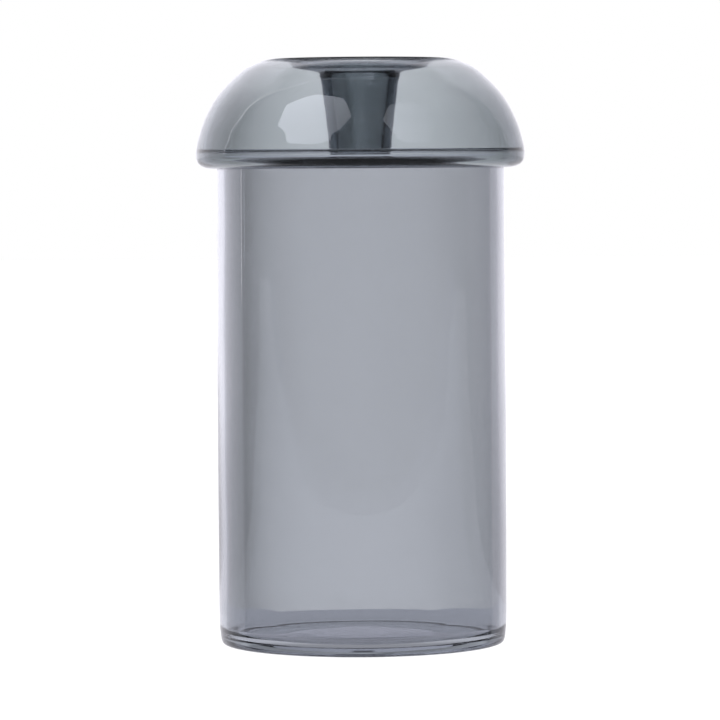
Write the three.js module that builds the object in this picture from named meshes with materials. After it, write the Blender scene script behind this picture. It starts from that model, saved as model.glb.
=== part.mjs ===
// Glass cylinder vase with a lift-off domed lid. The lid is also a holder for a taper candle.
// Millimetres, +Z up, origin at the centre of the foot. Two blown glass pieces, both turned about Z.
import * as THREE from "three";

// ---- driving dimensions ----
const SEGMENTS = 64; // facets round each piece

// vase
const VASE_R = 52.6; // outside radius of the straight wall
const VASE_WALL = 2.6; // wall thickness
const VASE_H = 174.85; // height of the rim
const FLOOR_T = 3.0; // glass thickness of the floor near the wall
const FLOOR_RISE = 1.2; // how much the floor rises in the middle, over the punt
const FLOOR_FILLET = 4.2; // inside radius where the floor meets the wall
const PUNT_R = 29.5; // radius of the shallow hollow under the foot
const PUNT_H = 1.3; // depth of that hollow
const FOOT_FLAT_R = 50.4; // outside radius of the flat ring that the vase stands on

// lid
const LID_H = 213.4; // top of the lid above the table
const SEAT_GAP = 0.15; // clearance between the rim and the lid, at rest
const DISC_Z = VASE_H + SEAT_GAP; // underside of the lid's flat bottom
const DISC_T = 2.8; // thickness of the lid's flat bottom
const LIP_Z = 173.6; // lowest line of the lid, a soft lip round the outside of the rim
const SEAT_R = 53.25; // radius inside that lip, where the rim sits
const SOCKET_TIP_Z = 178.3; // lower end of the candle socket, just above the flat bottom
const MOUTH_R = 10.75; // radius of the socket at its mouth
const TIP_BORE_R = 7.55; // radius of the socket at its lower end

// ---- helpers ----
const v = (r, z) => new THREE.Vector2(r, z);

// Points of an arc about (cr, cz), from angle a0 to a1 in degrees.
function arc(cr, cz, rad, a0, a1, steps) {
  const out = [];
  for (let i = 0; i <= steps; i++) {
    const a = ((a0 + ((a1 - a0) * i) / steps) * Math.PI) / 180;
    out.push(v(cr + rad * Math.cos(a), cz + rad * Math.sin(a)));
  }
  return out;
}

// Turns a profile that runs from the axis, up the outside and back to the axis.
function turned(profile, name, material) {
  const geometry = new THREE.LatheGeometry(profile, SEGMENTS);
  geometry.rotateX(Math.PI / 2);
  const mesh = new THREE.Mesh(geometry, material);
  mesh.name = name;
  return mesh;
}

// ---- the vase ----
// A straight cylinder with a fire-polished rim, a slightly tucked-in foot and a thin floor over a shallow punt.
const wallIn = VASE_R - VASE_WALL;
const rimR = VASE_WALL / 2;
const floorZ = FLOOR_T;
const vaseProfile = [
  v(0, PUNT_H),
  v(20.0, PUNT_H),
  v(24.5, PUNT_H - 0.04),
  v(27.2, PUNT_H - 0.4),
  v(28.6, 0.35),
  v(PUNT_R, 0),
  v(FOOT_FLAT_R, 0),
  v(51.0, 0.12),
  v(51.45, 0.42),
  v(51.75, 1.0),
  v(52.05, 2.2),
  v(52.3, 4.4),
  v(52.5, 7.2),
  v(VASE_R, 11),
  v(VASE_R + 0.15, 60),
  v(VASE_R + 0.15, 90),
  v(VASE_R, 140),
  ...arc(VASE_R - rimR - 0.1, VASE_H - rimR, rimR, 0, 180, 8),
  v(wallIn + 0.05, 140),
  v(wallIn + 0.1, 60),
  ...arc(wallIn - FLOOR_FILLET, floorZ + FLOOR_FILLET, FLOOR_FILLET, 0, -90, 6),
  v(33.0, floorZ + 0.05),
  v(29.0, floorZ + 0.35),
  v(25.0, floorZ + 0.85),
  v(20.0, floorZ + FLOOR_RISE - 0.1),
  v(10.0, floorZ + FLOOR_RISE),
  v(0, floorZ + FLOOR_RISE),
];

// ---- the lid ----
// One hollow dome: a flat bottom that closes the vase, a round shoulder that overhangs it, and a top that
// rolls over into a shallow funnel and down into a tapered candle socket. The socket's lower end is open.
const lidProfile = [
  // underside and lip
  v(0, DISC_Z),
  v(SEAT_R - 0.85, DISC_Z),
  v(SEAT_R - 0.3, DISC_Z - 0.12),
  v(SEAT_R, DISC_Z - 0.6),
  v(SEAT_R + 0.1, DISC_Z - 1.0),
  v(SEAT_R + 0.35, LIP_Z + 0.2),
  v(54.1, LIP_Z),
  v(55.6, LIP_Z + 0.06),
  v(57.6, 174.35),
  v(59.1, 175.5),
  v(59.8, 177.0),
  // dome, outside
  v(60.0, 178.9),
  v(59.7, 181.6),
  v(59.0, 184.5),
  v(57.7, 188.9),
  v(56.0, 192.9),
  v(53.9, 196.9),
  v(51.4, 200.6),
  v(48.4, 204.0),
  v(45.2, 207.1),
  v(41.7, 209.9),
  v(38.2, 211.75),
  v(34.6, 212.95),
  v(31.0, LID_H),
  // the funnel
  v(27.0, 212.6),
  v(22.0, 210.6),
  v(17.0, 208.9),
  v(14.2, 208.1),
  v(12.3, 207.5),
  v(11.3, 206.6),
  // candle socket, inside
  v(MOUTH_R, 205.2),
  v(9.95, 200.5),
  v(9.15, 193.5),
  v(8.25, 186.2),
  v(7.6, 180.6),
  // its blunt lower end
  ...arc(TIP_BORE_R + 0.6, SOCKET_TIP_Z + 0.6, 0.6, 180, 270, 3),
  ...arc(TIP_BORE_R + 2.95, SOCKET_TIP_Z + 0.6, 0.6, 270, 360, 3),
  // candle socket, outside, up to the inside of the dome
  v(11.25, 181.1),
  v(12.05, 187.5),
  v(12.9, 194.5),
  v(13.6, 200.0),
  v(14.05, 203.4),
  v(14.3, 204.9),
  v(14.75, 205.9),
  v(15.6, 206.6),
  v(17.0, 207.1),
  v(19.0, 207.7),
  v(22.4, 208.9),
  v(27.4, 211.1),
  // inside of the dome: the glass is thin at the top and thickens down the sides
  v(31.0, 212.2),
  v(34.3, 211.75),
  v(37.6, 210.5),
  v(40.8, 208.6),
  v(44.0, 205.75),
  v(47.0, 202.65),
  v(49.7, 199.3),
  v(51.95, 195.7),
  v(53.8, 191.85),
  v(55.3, 188.15),
  v(56.5, 183.9),
  // a small ridge, then a round gutter inside the rim
  v(57.25, 181.0),
  v(57.35, 180.3),
  v(57.0, 179.7),
  v(56.85, 178.4),
  v(56.7, 177.2),
  v(56.2, 176.0),
  v(55.2, 175.3),
  v(54.0, 175.4),
  v(53.0, 176.2),
  v(51.9, 177.2),
  v(50.6, DISC_Z + DISC_T - 0.1),
  v(49.0, DISC_Z + DISC_T),
  v(0, DISC_Z + DISC_T),
];

const vaseGlass = new THREE.MeshStandardMaterial({
  color: 0x8d959c,
  roughness: 0.03,
  metalness: 0,
});
const lidGlass = new THREE.MeshStandardMaterial({
  color: 0x6d767d,
  roughness: 0.03,
  metalness: 0,
});

const part = new THREE.Group();
part.add(turned(vaseProfile, "vase_body", vaseGlass));
part.add(turned(lidProfile, "candle_dome_lid", lidGlass));

export default part;
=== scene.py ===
# Smoke-grey glass cylinder vase with a hollow domed lid that holds a taper candle.
import math

import bpy
from mathutils import Matrix, Vector


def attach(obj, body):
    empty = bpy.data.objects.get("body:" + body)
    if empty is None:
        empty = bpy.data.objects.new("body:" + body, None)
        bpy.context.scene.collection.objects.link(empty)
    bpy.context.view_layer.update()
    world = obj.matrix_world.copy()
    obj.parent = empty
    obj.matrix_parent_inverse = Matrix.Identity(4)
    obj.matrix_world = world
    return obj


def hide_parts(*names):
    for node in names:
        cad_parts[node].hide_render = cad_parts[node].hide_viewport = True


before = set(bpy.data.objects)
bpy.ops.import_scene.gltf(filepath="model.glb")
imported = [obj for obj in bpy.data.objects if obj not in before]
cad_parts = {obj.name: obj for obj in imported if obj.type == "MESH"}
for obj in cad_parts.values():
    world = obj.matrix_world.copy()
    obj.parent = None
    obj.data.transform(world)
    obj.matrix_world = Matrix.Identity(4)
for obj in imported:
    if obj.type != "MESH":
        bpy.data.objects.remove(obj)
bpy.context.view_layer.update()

scene = bpy.context.scene
MM = 0.001
LATHE_STEPS = 288  # facets round each blown piece
WHITE = 1.36  # how bright the backdrop is behind the glass; the camera sees it as plain white


# How bright the studio is by azimuth, in degrees from straight behind the object, positive to its right.
MIRROR = [(-180, 0.12), (-120, 0.10), (-95, 0.06), (-80, 0.03), (-71, 0.03), (-70, 0.50), (-50, 0.95), (-30, 1.28), (0, 1.28),
          (25, 1.0), (36, 0.8), (45, 0.65), (53, 0.50), (54, 0.10), (80, 0.10), (120, 0.12), (180, 0.12)]
GLOW = [(-22.5, 0.62), (-9, 0.60), (-6.3, 0.56), (-4.9, 0.66), (-2.9, 0.87), (-1.5, 0.98), (0, 1.0), (1.7, 0.96), (3.2, 0.86), (5.2, 0.82), (8.5, 0.77), (22.5, 0.62)]


# ---------------------------------------------------------------- helpers
def catmull(points, step=0.45):
    """A smooth centripetal curve through control points (r, z), sampled about every step mm."""
    if len(points) == 2:
        (r0, z0), (r1, z1) = points
        n = max(1, int(math.hypot(r1 - r0, z1 - z0) / (step * 4)))
        return [(r0 + (r1 - r0) * i / n, z0 + (z1 - z0) * i / n) for i in range(n + 1)]
    p = [Vector(q) for q in points]
    p = [p[0] * 2 - p[1]] + p + [p[-1] * 2 - p[-2]]
    out = []
    for i in range(1, len(p) - 2):
        a, b, c, d = p[i - 1], p[i], p[i + 1], p[i + 2]
        t0 = 0.0
        t1 = t0 + max((b - a).length, 1e-6) ** 0.5
        t2 = t1 + max((c - b).length, 1e-6) ** 0.5
        t3 = t2 + max((d - c).length, 1e-6) ** 0.5
        n = max(2, int((c - b).length / step))
        for k in range(n):
            t = t1 + (t2 - t1) * k / n
            a1 = a * ((t1 - t) / (t1 - t0)) + b * ((t - t0) / (t1 - t0))
            a2 = b * ((t2 - t) / (t2 - t1)) + c * ((t - t1) / (t2 - t1))
            a3 = c * ((t3 - t) / (t3 - t2)) + d * ((t - t2) / (t3 - t2))
            b1 = a1 * ((t2 - t) / (t2 - t0)) + a2 * ((t - t0) / (t2 - t0))
            b2 = a2 * ((t3 - t) / (t3 - t1)) + a3 * ((t - t1) / (t3 - t1))
            q = b1 * ((t2 - t) / (t2 - t1)) + b2 * ((t - t1) / (t2 - t1))
            out.append((q.x, q.y))
    out.append(tuple(points[-1]))
    return out


def arc(cr, cz, rad, a0, a1, n=14):
    """Points of an arc, angles in degrees."""
    return [
        (
            cr + rad * math.cos(math.radians(a0 + (a1 - a0) * i / n)),
            cz + rad * math.sin(math.radians(a0 + (a1 - a0) * i / n)),
        )
        for i in range(n + 1)
    ]


def join(*runs):
    """Runs of profile points end to end, with doubled points dropped."""
    out = []
    for run in runs:
        for q in run:
            if not out or math.hypot(q[0] - out[-1][0], q[1] - out[-1][1]) > 0.02:
                out.append((q[0], q[1]))
    return out


def lathe(name, profile, wave=None):
    """A closed solid turned about Z from a profile (r, z) in mm that starts and ends on the axis."""
    prof = profile[1:-1]
    verts = [(0, 0, profile[0][1] * MM)]
    n = LATHE_STEPS
    for r, z in prof:
        for j in range(n):
            a = 2 * math.pi * j / n
            rr, zz = wave(r, z, a) if wave else (r, z)
            verts.append((rr * math.cos(a) * MM, rr * math.sin(a) * MM, zz * MM))
    verts.append((0, 0, profile[-1][1] * MM))
    last = len(verts) - 1
    faces = []
    for j in range(n):
        k = (j + 1) % n
        faces.append((0, 1 + k, 1 + j))
        for i in range(len(prof) - 1):
            a = 1 + i * n
            b = 1 + (i + 1) * n
            faces.append((a + j, a + k, b + k, b + j))
        e = 1 + (len(prof) - 1) * n
        faces.append((e + j, e + k, last))
    mesh = bpy.data.meshes.new(name)
    mesh.from_pydata(verts, [], faces)
    mesh.validate()
    mesh.polygons.foreach_set("use_smooth", [True] * len(mesh.polygons))
    mesh.update()
    ob = bpy.data.objects.new(name, mesh)
    scene.collection.objects.link(ob)
    return ob


# ---------------------------------------------------------------- shapes
# vase: the same driving sizes as the CAD model
VASE_R, VASE_H, WALL = 52.6, 174.85, 2.6
PUNT_R, PUNT_H, FLOOR_Z, FILLET = 29.5, 1.3, 3.0, 4.2
IN_R = VASE_R - WALL
RIM = WALL / 2

vase_profile = join(
    [(0, PUNT_H), (8, PUNT_H), (16, PUNT_H)],
    catmull([(20.0, PUNT_H), (24.5, PUNT_H - 0.04), (27.2, PUNT_H - 0.4), (28.6, 0.35), (29.5, 0.0)], 0.3),
    catmull([(29.6, 0.0), (50.2, 0.0)], 1.0),
    catmull([(50.4, 0.0), (51.0, 0.12), (51.45, 0.42), (51.75, 1.0), (52.05, 2.2), (52.3, 4.4), (52.5, 7.2), (VASE_R, 11)], 0.25),
    catmull([(VASE_R, 11), (52.66, 25), (52.75, 60), (52.75, 90), (52.6, 140), (52.5, VASE_H - RIM - 2), (52.5, VASE_H - RIM)], 2.5),
    arc(VASE_R - RIM - 0.1, VASE_H - RIM, RIM, 0, 180, 18),
    catmull([(49.9, VASE_H - RIM), (49.9, VASE_H - RIM - 2), (50.05, 140), (50.1, 90), (50.1, 60), (50.05, 30), (50.0, FLOOR_Z + FILLET)], 2.5),
    arc(IN_R - FILLET, FLOOR_Z + FILLET, FILLET, 0, -90, 22),
    catmull([(45.8, FLOOR_Z), (40.0, FLOOR_Z), (33.0, FLOOR_Z + 0.05), (29.0, FLOOR_Z + 0.35), (25.0, FLOOR_Z + 0.85), (20.0, FLOOR_Z + 1.1), (10.0, FLOOR_Z + 1.2), (0, FLOOR_Z + 1.2)], 1.0),
)

DISC_Z, DISC_T, LIP_Z, LID_H = VASE_H + 0.15, 2.8, 173.6, 213.4
disc_top = DISC_Z + DISC_T
lid_profile = join(
    [(0, DISC_Z), (12, DISC_Z), (26, DISC_Z), (40, DISC_Z), (51.6, DISC_Z)],
    catmull([(52.4, DISC_Z), (52.95, DISC_Z - 0.12), (53.25, DISC_Z - 0.6), (53.35, DISC_Z - 1.0), (53.6, LIP_Z + 0.2), (54.1, LIP_Z), (55.6, LIP_Z + 0.06),
             (57.6, 174.35), (59.1, 175.5), (59.8, 177.0), (60.0, 178.9)], 0.25),
    catmull([(60.0, 178.9), (59.7, 181.6), (59.0, 184.5), (57.7, 188.9), (56.0, 192.9), (53.9, 196.9), (51.4, 200.6), (48.4, 204.0),
             (45.2, 207.1), (41.7, 209.9), (38.2, 211.75), (34.6, 212.95), (31.0, LID_H), (27.0, 212.6), (22.0, 210.6),
             (17.0, 208.9), (14.2, 208.1), (12.3, 207.5), (11.3, 206.6), (10.75, 205.2), (9.95, 200.5), (9.15, 193.5), (8.25, 186.2), (7.6, 180.6), (7.55, 178.9)], 0.55),
    arc(8.15, 178.9, 0.6, 180, 270, 8),
    arc(10.5, 178.9, 0.6, 270, 360, 8),
    catmull([(11.1, 178.9), (11.25, 181.1), (12.05, 187.5), (12.9, 194.5), (13.6, 200.0), (14.05, 203.4), (14.3, 204.9), (14.75, 205.9), (15.6, 206.6), (17.0, 207.1), (19.0, 207.7), (22.4, 208.9), (27.4, 211.1),
             (31.0, 212.2), (34.3, 211.75), (37.6, 210.5), (40.8, 208.6), (44.0, 205.75), (47.0, 202.65), (49.7, 199.3),
             (51.95, 195.7), (53.8, 191.85), (55.3, 188.15), (56.5, 183.9), (57.25, 181.0), (57.35, 180.3), (57.2, 179.9), (57.0, 179.7), (56.9, 179.3), (56.85, 178.4), (56.7, 177.2),
             (56.2, 176.0), (55.2, 175.3), (54.0, 175.4), (53.0, 176.2), (51.9, 177.2), (50.6, disc_top - 0.1), (49.0, disc_top)], 0.15),
    [(40, disc_top), (28, disc_top), (14, disc_top), (0, disc_top)],
)


def vase_wave(r, z, a):
    """The faint unevenness of a blown wall, on the inside only, so that the outline stays true."""
    if z > FLOOR_Z + 1 and r < 51.0:
        fade = min(1.0, (z - FLOOR_Z - 1) / 20) * min(1.0, max(0.0, (VASE_H - 4 - z) / 20))
        r += fade * (0.07 * math.sin(2 * a + 0.7) + 0.03 * math.sin(5 * a + z * 0.045) + 0.02 * math.sin(3 * a - z * 0.11))
    return r, z


def lid_wave(r, z, a):
    """No unevenness on the dome: its profile is kept as turned."""
    return r, z


vase = lathe("vase_glass_body", vase_profile, vase_wave)
lid = lathe("dome_lid_glass", lid_profile, lid_wave)
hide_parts("vase_body")
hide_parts("candle_dome_lid")
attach(vase, "vase")
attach(lid, "dome")
# the pale floor takes no shadow: it is burnt out to white all round the foot
vase.visible_diffuse = False
lid.visible_diffuse = False


# ---------------------------------------------------------------- glass
def glass(name, tint_a, tint_b, absorb, density):
    """Polished smoke glass: tinted at each surface, and absorbing along the way through, so thick glass goes dark."""
    m = bpy.data.materials.new(name)
    m.use_nodes = True
    nt = m.node_tree
    nt.nodes.clear()
    out = nt.nodes.new("ShaderNodeOutputMaterial")
    p = nt.nodes.new("ShaderNodeBsdfPrincipled")
    p.inputs["IOR"].default_value = 1.5
    p.inputs["Metallic"].default_value = 0.0
    p.inputs["Transmission Weight"].default_value = 1.0
    tc = nt.nodes.new("ShaderNodeTexCoord")
    # colour: a faint drift through the gather
    n1 = nt.nodes.new("ShaderNodeTexNoise")
    n1.inputs["Scale"].default_value = 9.0
    n1.inputs["Detail"].default_value = 2.0
    nt.links.new(tc.outputs["Object"], n1.inputs["Vector"])
    mix = nt.nodes.new("ShaderNodeMix")
    mix.data_type = "RGBA"
    mix.inputs["A"].default_value = (*tint_a, 1)
    mix.inputs["B"].default_value = (*tint_b, 1)
    nt.links.new(n1.outputs["Fac"], mix.inputs["Factor"])
    nt.links.new(mix.outputs["Result"], p.inputs["Base Color"])
    # roughness: polished, with a trace of handling
    n2 = nt.nodes.new("ShaderNodeTexNoise")
    n2.inputs["Scale"].default_value = 60.0
    n2.inputs["Detail"].default_value = 3.0
    nt.links.new(tc.outputs["Object"], n2.inputs["Vector"])
    mr = nt.nodes.new("ShaderNodeMapRange")
    mr.inputs["From Min"].default_value = 0.45
    mr.inputs["From Max"].default_value = 0.8
    mr.inputs["To Min"].default_value = 0.0
    mr.inputs["To Max"].default_value = 0.012
    nt.links.new(n2.outputs["Fac"], mr.inputs["Value"])
    nt.links.new(mr.outputs["Result"], p.inputs["Roughness"])
    # bump: the soft ripple of fire-polished glass
    n3 = nt.nodes.new("ShaderNodeTexNoise")
    n3.inputs["Scale"].default_value = 22.0
    n3.inputs["Detail"].default_value = 1.0
    nt.links.new(tc.outputs["Object"], n3.inputs["Vector"])
    bump = nt.nodes.new("ShaderNodeBump")
    bump.inputs["Strength"].default_value = 0.25
    bump.inputs["Distance"].default_value = 0.00008
    nt.links.new(n3.outputs["Fac"], bump.inputs["Height"])
    nt.links.new(bump.outputs["Normal"], p.inputs["Normal"])
    va = nt.nodes.new("ShaderNodeVolumeAbsorption")
    va.inputs["Color"].default_value = (*absorb, 1)
    va.inputs["Density"].default_value = density
    nt.links.new(p.outputs["BSDF"], out.inputs["Surface"])
    nt.links.new(va.outputs["Volume"], out.inputs["Volume"])
    return m


vase_mat = glass("vase_smoke_glass", (0.565, 0.580, 0.612), (0.585, 0.598, 0.630), (0.5, 0.53, 0.57), 20.0)
lid_mat = glass("lid_smoke_glass", (0.955, 0.965, 0.99), (0.97, 0.98, 1.0), (0.520, 0.553, 0.570), 395.0)
vase.data.materials.append(vase_mat)
lid.data.materials.append(lid_mat)


# ---------------------------------------------------------------- stage
def flat(name, x0, x1, y0, y1, z):
    me = bpy.data.meshes.new(name)
    me.from_pydata([(x0, y0, z), (x1, y0, z), (x1, y1, z), (x0, y1, z)], [], [(0, 1, 2, 3)])
    ob = bpy.data.objects.new(name, me)
    scene.collection.objects.link(ob)
    return ob


def stage_material(name, colour, rough=0.9):
    m = bpy.data.materials.new(name)
    m.use_nodes = True
    p = m.node_tree.nodes["Principled BSDF"]
    p.inputs["Base Color"].default_value = (*colour, 1)
    p.inputs["Roughness"].default_value = rough
    p.inputs["Specular IOR Level"].default_value = 0.0
    return m


# What the camera sees: a wide pale floor that runs into the white backdrop.
floor = flat("floor", -6, 6, -6, 6, -0.0008)
floor.data.materials.append(stage_material("floor_white", (0.92, 0.92, 0.92)))
floor.visible_glossy = False
floor.visible_transmission = False
# What shows through and in the glass: the table top, which stops a little way behind the vase.
table = flat("table_top", -4.0, 4.0, -0.6, 0.130, -0.0004)
table.rotation_euler = (0, 0, math.radians(1.5))
tm = bpy.data.materials.new("table_pale")
tm.use_nodes = True
tn = tm.node_tree
tn.nodes.clear()
t_co = tn.nodes.new("ShaderNodeTexCoord")
# painted shade: the table's glow is turned down where the foot shades it, a little forward of the middle
t_off = tn.nodes.new("ShaderNodeVectorMath")
t_off.operation = "ADD"
t_off.inputs[1].default_value = (0.0, 0.010, 0.0)
tn.links.new(t_co.outputs["Object"], t_off.inputs[0])
t_len = tn.nodes.new("ShaderNodeVectorMath")
t_len.operation = "LENGTH"
tn.links.new(t_off.outputs["Vector"], t_len.inputs[0])
table_painted_shade = tn.nodes.new("ShaderNodeMapRange")
table_painted_shade.interpolation_type = "SMOOTHSTEP"
for key, val in (("From Min", 0.0385), ("From Max", 0.044), ("To Min", 0.50), ("To Max", 0.86)):
    table_painted_shade.inputs[key].default_value = val
tn.links.new(t_len.outputs["Value"], table_painted_shade.inputs["Value"])
t_em = tn.nodes.new("ShaderNodeEmission")
t_em.inputs["Color"].default_value = (0.97, 0.985, 1.06, 1)
tn.links.new(table_painted_shade.outputs["Result"], t_em.inputs["Strength"])
t_out = tn.nodes.new("ShaderNodeOutputMaterial")
tn.links.new(t_em.outputs["Emission"], t_out.inputs["Surface"])
table.data.materials.append(tm)
table.visible_camera = False
table.visible_glossy = False
table.visible_diffuse = False
table.visible_shadow = False


def octagon(name, direction, distance, radius, strength, colour=(1, 1, 1), fall=(1.0, 1.0)):
    """An octagonal softbox, seen only in the glass's reflections."""
    d = Vector(direction).normalized()
    me = bpy.data.meshes.new(name)
    pts = [(radius * math.cos(math.radians(22.5 + 45 * i)), radius * math.sin(math.radians(22.5 + 45 * i)), 0) for i in range(8)]
    me.from_pydata(pts, [], [tuple(range(8))])
    ob = bpy.data.objects.new(name, me)
    scene.collection.objects.link(ob)
    ob.matrix_world = Matrix.Translation(Vector((0, 0, 0.19)) + d * distance) @ d.to_track_quat("Z", "Y").to_matrix().to_4x4()
    m = bpy.data.materials.new(name)
    m.use_nodes = True
    nt = m.node_tree
    nt.nodes.clear()
    e = nt.nodes.new("ShaderNodeEmission")
    e.inputs["Color"].default_value = (*colour, 1)
    # brighter at one side than at the other, as a lamp inside its box is
    c = nt.nodes.new("ShaderNodeTexCoord")
    x = nt.nodes.new("ShaderNodeSeparateXYZ")
    g = nt.nodes.new("ShaderNodeMapRange")
    nt.links.new(c.outputs["Object"], x.inputs[0])
    nt.links.new(x.outputs["X"], g.inputs["Value"])
    g.inputs["From Min"].default_value = -radius
    g.inputs["From Max"].default_value = radius
    g.inputs["To Min"].default_value = strength * fall[0]
    g.inputs["To Max"].default_value = strength * fall[1]
    nt.links.new(g.outputs["Result"], e.inputs["Strength"])
    o = nt.nodes.new("ShaderNodeOutputMaterial")
    nt.links.new(e.outputs["Emission"], o.inputs["Surface"])
    me.materials.append(m)
    ob.visible_camera = False
    ob.visible_diffuse = False
    ob.visible_transmission = False
    ob.visible_shadow = False
    return ob


octagon("softbox_left", (-0.473, -0.545, 0.686), 1.3, 0.56, 4.4, (0.90, 0.93, 1.04), (1.1, 0.5))
octagon("softbox_right", (0.50, -0.55, 0.60), 1.3, 0.42, 2.2, (0.90, 0.93, 1.04), (1.0, 0.0))

# ---------------------------------------------------------------- world
# The camera sees plain white all round. The glass sees a studio: straight through it, a white backdrop with the glow of
# a background light on it; mirrored, the backdrop's two ends, a dim room in front and a dark ceiling.
world = bpy.data.worlds.new("studio")
scene.world = world
world.use_nodes = True
nt = world.node_tree
nt.nodes.clear()
rad = math.radians


def math_node(op, a, b=None):
    n = nt.nodes.new("ShaderNodeMath")
    n.operation = op
    for i, src in enumerate((a, b)):
        if src is None:
            continue
        if isinstance(src, (int, float)):
            n.inputs[i].default_value = src
        else:
            nt.links.new(src, n.inputs[i])
    return n.outputs[0]


def ramp(src, lo, hi, a, b):
    n = nt.nodes.new("ShaderNodeMapRange")
    n.interpolation_type = "SMOOTHSTEP"
    n.inputs["From Min"].default_value = lo
    n.inputs["From Max"].default_value = hi
    n.inputs["To Min"].default_value = a
    n.inputs["To Max"].default_value = b
    nt.links.new(src, n.inputs["Value"])
    return n.outputs["Result"]


def curve(src, lo, hi, stops):
    """A value read off a line through stops (x, value), for src from lo to hi. Values are up to 4."""
    n = nt.nodes.new("ShaderNodeValToRGB")
    n.color_ramp.interpolation = "LINEAR"
    els = n.color_ramp.elements
    while len(els) > 1:
        els.remove(els[-1])
    for i, (x, val) in enumerate(stops):
        e = els[0] if i == 0 else els.new((x - lo) / (hi - lo))
        e.position = (x - lo) / (hi - lo)
        e.color = (val / 4, val / 4, val / 4, 1)
    f = math_node("DIVIDE", math_node("SUBTRACT", src, lo), hi - lo)
    nt.links.new(f, n.inputs["Fac"])
    return math_node("MULTIPLY", n.outputs["Color"], 4.0)


tc = nt.nodes.new("ShaderNodeTexCoord")
sep = nt.nodes.new("ShaderNodeSeparateXYZ")
nt.links.new(tc.outputs["Generated"], sep.inputs[0])
azim = math_node("MULTIPLY", math_node("ARCTAN2", sep.outputs["X"], sep.outputs["Y"]), 180 / math.pi)  # 0 behind the object, positive to the right
elev = math_node("MULTIPLY", math_node("ARCSINE", sep.outputs["Z"]), 180 / math.pi)
lp = nt.nodes.new("ShaderNodeLightPath")
# mirrored
ends = math_node("MULTIPLY", curve(azim, -180, 180, MIRROR), ramp(elev, -5.5, -2, 0.7, 1))
side = ramp(math_node("SUBTRACT", math_node("ABSOLUTE", azim), math_node("MULTIPLY", elev, 0.34)), -1.0, 1.5, 0, 1)
low = math_node("MAXIMUM", ramp(elev, 4, 8, 1, 0), ramp(elev, 36, 46, 0, 0.7))
low = math_node("MAXIMUM", low, math_node("GREATER_THAN", lp.outputs["Transmission Depth"], 2.5))
mid = ramp(elev, 46, 58, 1, 0)
top = math_node("MULTIPLY", math_node("MAXIMUM", low, side), mid)
behind = ramp(math_node("ABSOLUTE", azim), 126, 136, -5.25, -4.7)
strip = math_node("MULTIPLY", ramp(math_node("SUBTRACT", elev, behind), -0.06, 0.06, 1, 0), ramp(elev, -14, -9, 0, 1))
strip = math_node("MULTIPLY", strip, ramp(math_node("ABSOLUTE", azim), 70, 75, 0, 0.45))
streak = math_node("MULTIPLY", ramp(math_node("ABSOLUTE", math_node("ADD", azim, 69.6)), 0.25, 0.6, 2.4, 0), ramp(elev, -1.9, -1.2, 0, 1))
room = math_node("ADD", math_node("ADD", math_node("MULTIPLY", ends, top), streak), 0.02)
# straight through: the glow repeats every 45 degrees, so that the glass looks alike from every side
w = nt.nodes.new("ShaderNodeMath")
w.operation = "WRAP"
nt.links.new(azim, w.inputs[0])
w.inputs[1].default_value = 22.5
w.inputs[2].default_value = -22.5
glow = curve(w.outputs[0], -22.5, 22.5, GLOW)
ceiling = ramp(elev, 30, 55, 1, 0.8)
mirrored = math_node("GREATER_THAN", lp.outputs["Glossy Depth"], 0.5)
through = math_node("GREATER_THAN", lp.outputs["Transmission Depth"], 0.5)
seen = math_node("MULTIPLY", math_node("MULTIPLY", glow, ceiling), WHITE)


def choose(test, yes, no):
    """A colour mixed from two values or colours by a test that is 0 or 1."""
    n = nt.nodes.new("ShaderNodeMix")
    n.data_type = "RGBA"
    nt.links.new(test, n.inputs["Factor"])
    for key, src in (("A", no), ("B", yes)):
        if isinstance(src, tuple):
            n.inputs[key].default_value = (*src, 1)
        else:
            nt.links.new(src, n.inputs[key])
    return n.outputs["Result"]


def tinted(value, colour):
    n = nt.nodes.new("ShaderNodeMix")
    n.data_type = "RGBA"
    n.blend_type = "MULTIPLY"
    n.inputs["Factor"].default_value = 1.0
    nt.links.new(value, n.inputs["A"])
    n.inputs["B"].default_value = (*colour, 1)
    return n.outputs["Result"]


seen = tinted(seen, (1.0, 1.0, 1.0))
room = tinted(room, (1.0, 0.985, 1.06))
shade = choose(mirrored, room, choose(through, seen, (1.0, 1.0, 1.0)))
shade = choose(lp.outputs["Is Diffuse Ray"], (1.25, 1.25, 1.25), shade)
bg = nt.nodes.new("ShaderNodeBackground")
nt.links.new(shade, bg.inputs["Color"])
wo = nt.nodes.new("ShaderNodeOutputWorld")
nt.links.new(bg.outputs["Background"], wo.inputs["Surface"])

# ---------------------------------------------------------------- render look
scene.view_settings.view_transform = "Standard"
scene.view_settings.look = "None"
scene.view_settings.exposure = 0.0
scene.view_settings.gamma = 1.0
scene.cycles.max_bounces = 32
scene.cycles.transmission_bounces = 32
scene.cycles.glossy_bounces = 16
scene.cycles.diffuse_bounces = 3
scene.cycles.volume_bounces = 0
scene.cycles.caustics_reflective = True
scene.cycles.caustics_refractive = True
scene.cycles.blur_glossy = 0.0
scene.cycles.use_denoising = True

# ---------------------------------------------------------------- camera
EYE = Vector((0.0, -1.571, 0.1772))
PITCH, ROLL = math.radians(2.69), math.radians(0.36)
cam_data = bpy.data.cameras.new("camera")
cam_data.lens = 215
cam_data.sensor_width = 36
cam = bpy.data.objects.new("camera", cam_data)
scene.collection.objects.link(cam)
cam.location = EYE
yaw = math.radians(0.02)
rot = Matrix.Rotation(yaw, 4, "Z") @ Matrix.Rotation(math.radians(90) - PITCH, 4, "X") @ Matrix.Rotation(-ROLL, 4, "Z")
cam.rotation_euler = rot.to_euler()
scene.camera = cam
